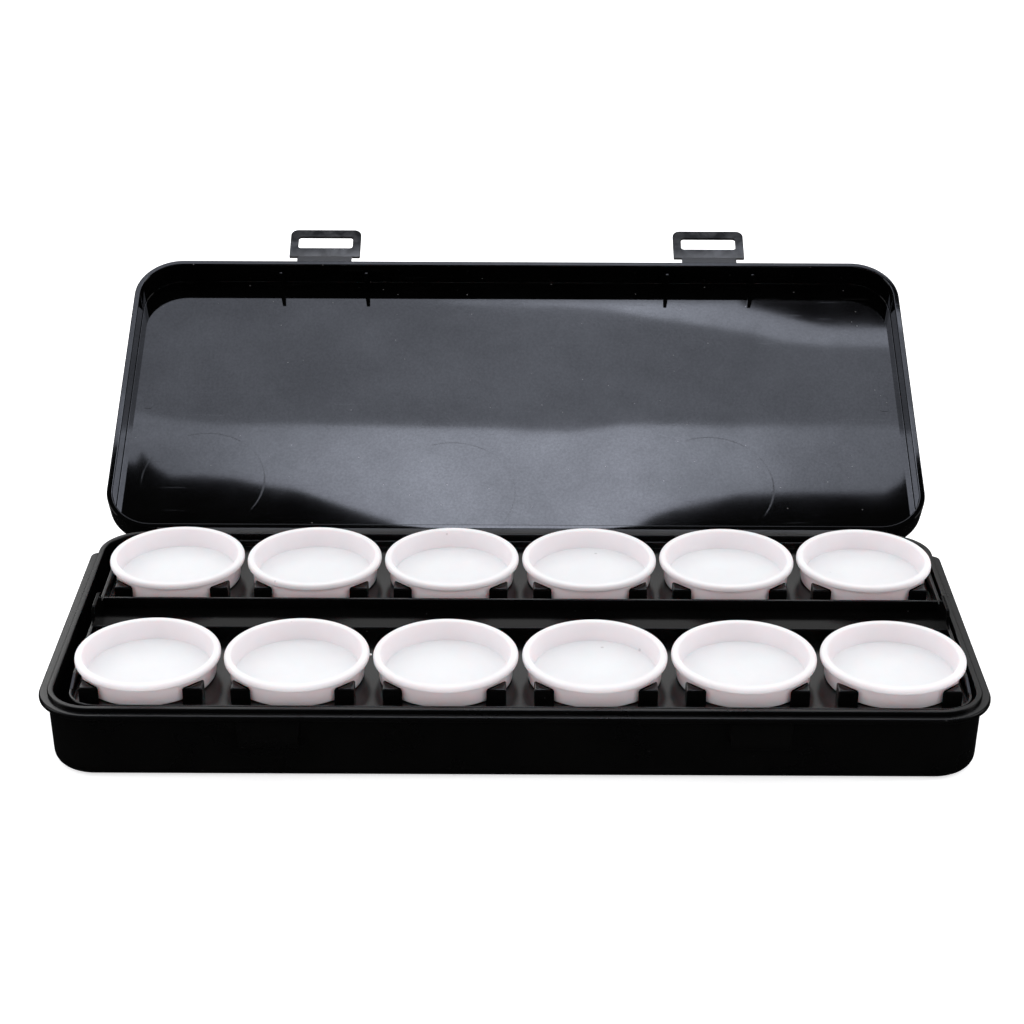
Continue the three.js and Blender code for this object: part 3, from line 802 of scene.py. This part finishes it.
def make_cup(name, x, y):
    """A round dish with a thick rolled rim, on a low foot ring. One cup has a nib left on its rim."""
    underside, foot, floor, under_rim, top = -0.1, -0.75, 0.9, 4.3, 6.2
    bm = bmesh.new()
    lathe(bm, rounded([
        (0, underside, 0), (16.3, underside, 0.2), (16.4, foot, 0.1), (17.5, foot, 0.45),
        (17.7, under_rim, 0.3), (CUP_RIM, under_rim, 0.5), (CUP_RIM, top, 1.3), (17, top, 0.7),
        (16.1, floor, 0.3), (0, floor, 0),
    ], 6))
    if name == "cup_front_2":
        nib = Matrix.Translation((CUP_RIM - 0.05, 0, top - 1)) @ Matrix.Diagonal((0.75, 0.35, 0.3, 1))
        bmesh.ops.create_icosphere(bm, subdivisions=3, radius=1, matrix=nib)
    place = TRAY_FRAME @ Matrix.Translation((x, y, CUP_FOOT))
    piece = finish_mesh(f"{name}_dish", bm, place, name, cup_white)
    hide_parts(name)


# Stage, light and camera


def stage_sheet(name, points, z, material):
    """A flat sheet for the stage, with this outline and at this height."""
    mesh = bpy.data.meshes.new(name)
    mesh.from_pydata([(x * MM, y * MM, z * MM) for x, y in points], [], [list(range(len(points)))])
    mesh.materials.append(material)
    sheet = bpy.data.objects.new(name, mesh)
    bpy.context.scene.collection.objects.link(sheet)
    return sheet


def make_floor():
    """A wide pale floor that glows a little, so that it stays white. Gloss doesn't see it."""
    material, nodes, shader, _ = start_material("floor_pale")
    nodes.feed(shader.inputs["Base Color"], (0.93, 0.93, 0.94, 1))
    nodes.feed(shader.inputs["Roughness"], 0.9)
    nodes.feed(shader.inputs["Specular IOR Level"], 0.1)
    nodes.feed(shader.inputs["Emission Color"], (1, 1, 1, 1))
    nodes.feed(shader.inputs["Emission Strength"], 0.6)
    reach = 6000
    points = [(-reach, -reach), (reach, -reach), (reach, reach), (-reach, reach)]
    floor = stage_sheet("floor", points, 0, material)
    floor.visible_glossy = False


def make_card(name, points, z, middle, edge):
    """A soft overhead card that shows only in gloss, as a studio's softboxes and flags do.

    Its strength falls from middle to edge along X.
    """
    material, nodes, shader, place = start_material(name, "ShaderNodeEmission")
    across = nodes.math("ABSOLUTE", nodes.along(place, "X"))
    nodes.feed(shader.inputs["Color"], (0.80, 0.85, 1, 1))
    nodes.feed(shader.inputs["Strength"], nodes.ramp(across, 0.03, 0.24, middle, edge))
    card = stage_sheet(name, points, z, material)
    card.visible_camera = False
    card.visible_diffuse = False
    card.visible_shadow = False
    card.visible_transmission = False


def make_cards():
    """What hangs over the box and shows in the lid: a wide card, a brighter band, a sweep and a far card.

    The band lies between the low line and the seam, and the sweep between the under line and the over line.
    """
    seam = [
        (-500, 246), (-235, 243), (-209, 238), (-181, 235), (-133, 235), (-59, 234), (-18, 233), (12, 231),
        (32, 231), (63, 236), (83, 236), (124, 235), (222, 236), (500, 238),
    ]
    low = [
        (-500, 216), (-238, 212), (-231, 211), (-228, 218), (-225, 214), (-219, 208), (-210, 203),
        (-193, 203), (-172, 201), (-158, 198), (-132, 194), (-103, 184), (-75, 175), (-50, 150), (50, 150),
        (75, 175), (84, 180), (93, 183), (113, 188), (134, 193), (164, 194), (223, 194), (233, 200),
        (237, 207), (500, 240),
    ]
    under = [
        (26, 310), (55, 308), (83, 303), (125, 297), (143, 294), (166, 288), (186, 286), (225, 285),
        (500, 283),
    ]
    over = [
        (-60, 313), (137, 312), (145, 309), (162, 305), (176, 301), (190, 298), (227, 297), (500, 295),
    ]
    field = seam[::-1] + [(-500, 420), (137, 420)] + over[1:]
    far = [(137, 318), (500, 318), (500, 420), (137, 420)]
    make_card("card_field", field, 700, 2.3, 1.9)
    make_card("card_band", low + seam[::-1], 699.5, 6.6, 2.7)
    make_card("card_sweep", under + over[::-1], 699, 6.0, 3.8)
    make_card("card_far", far, 700, 2.2, 1.9)


def make_world():
    """A bright, even room for matt surfaces that gloss sees as almost black."""
    world = bpy.data.worlds.new("studio")
    bpy.context.scene.world = world
    world.use_nodes = True
    tree = world.node_tree
    tree.nodes.clear()
    nodes = Nodes(tree)
    output = nodes.new("ShaderNodeOutputWorld")
    direction = nodes.new("ShaderNodeTexCoord").outputs["Generated"]
    height = nodes.along(direction, "Z")
    rise = nodes.ramp(height, -0.1, 0.9, 1.16, 1.0)
    back = nodes.ramp(nodes.along(direction, "Y"), -0.9, 0.6, 0.82, 1.1)
    diffuse = nodes.times(rise, back)
    gloss = nodes.ramp(height, -0.1, 0.7, 0.008, 0.014)
    is_gloss = nodes.new("ShaderNodeLightPath").outputs["Is Glossy Ray"]
    strength = nodes.new("ShaderNodeMix", {0: is_gloss, 2: diffuse, 3: gloss}, data_type="FLOAT").outputs[0]
    background = nodes.new("ShaderNodeBackground", {"Color": (1, 0.995, 1, 1), "Strength": strength})
    tree.links.new(background.outputs[0], output.inputs["Surface"])


def make_area(name, place, target, size, power):
    """A rectangular lamp that faces its target."""
    data = bpy.data.lights.new(name, "AREA")
    data.shape = "RECTANGLE"
    data.size, data.size_y = size
    data.energy = power
    light = bpy.data.objects.new(name, data)
    light.location = place
    light.rotation_euler = (Vector(target) - Vector(place)).to_track_quat("-Z", "Y").to_euler()
    light.visible_camera = False
    bpy.context.scene.collection.objects.link(light)


def make_lights():
    """Three soft lamps behind the box, for the rims, and one on each side."""
    behind, middle = (0, 0.1, 0), (0, 0.05, 0.02)
    make_area("back_soft", (0.0, 1.3, 0.75), behind, (0.75, 0.5), 1.05)
    make_area("back_left_soft", (-0.62, 1.29, 0.75), behind, (0.4, 0.5), 1.7)
    make_area("back_right_soft", (0.62, 1.29, 0.75), behind, (0.36, 0.5), 0.6)
    make_area("left_soft", (-1.1, 0.0, 0.55), middle, (0.5, 0.8), 1.5)
    make_area("right_soft", (1.1, 0.0, 0.55), middle, (0.5, 0.8), 1.5)


def make_camera():
    """The photo's camera: in front of the box, looking down on it."""
    place = Vector((0.00054, -0.54907, 0.30943))
    yaw, pitch, roll = math.radians(-0.15), math.radians(25.14), math.radians(0.18)
    forward = Vector((math.sin(yaw) * math.cos(pitch), math.cos(yaw) * math.cos(pitch), -math.sin(pitch)))
    level = Vector((math.cos(yaw), -math.sin(yaw), 0))
    upright = level.cross(forward)
    right = level * math.cos(roll) + upright * math.sin(roll)
    up = upright * math.cos(roll) - level * math.sin(roll)
    data = bpy.data.cameras.new("camera")
    data.sensor_fit = "HORIZONTAL"
    data.sensor_width = 36
    data.lens = 79.66
    data.clip_start, data.clip_end = 0.01, 50
    camera = bpy.data.objects.new("camera", data)
    camera.matrix_world = Matrix((
        (right.x, up.x, -forward.x, place.x),
        (right.y, up.y, -forward.y, place.y),
        (right.z, up.z, -forward.z, place.z),
        (0, 0, 0, 1),
    ))
    bpy.context.scene.collection.objects.link(camera)
    bpy.context.scene.camera = camera


bpy.context.scene.view_settings.view_transform = "Standard"
make_camera()
make_world()
make_lights()
make_cards()
make_floor()
make_base()
make_flange()
make_ribs()
make_catches()
make_lid()
make_stiffeners()
make_mould_marks()
make_latch("latch_left", -1)
make_latch("latch_right", 1)
make_films()
make_tray()
for cup_name, cup_x, cup_y in cup_places():
    make_cup(cup_name, cup_x, cup_y)
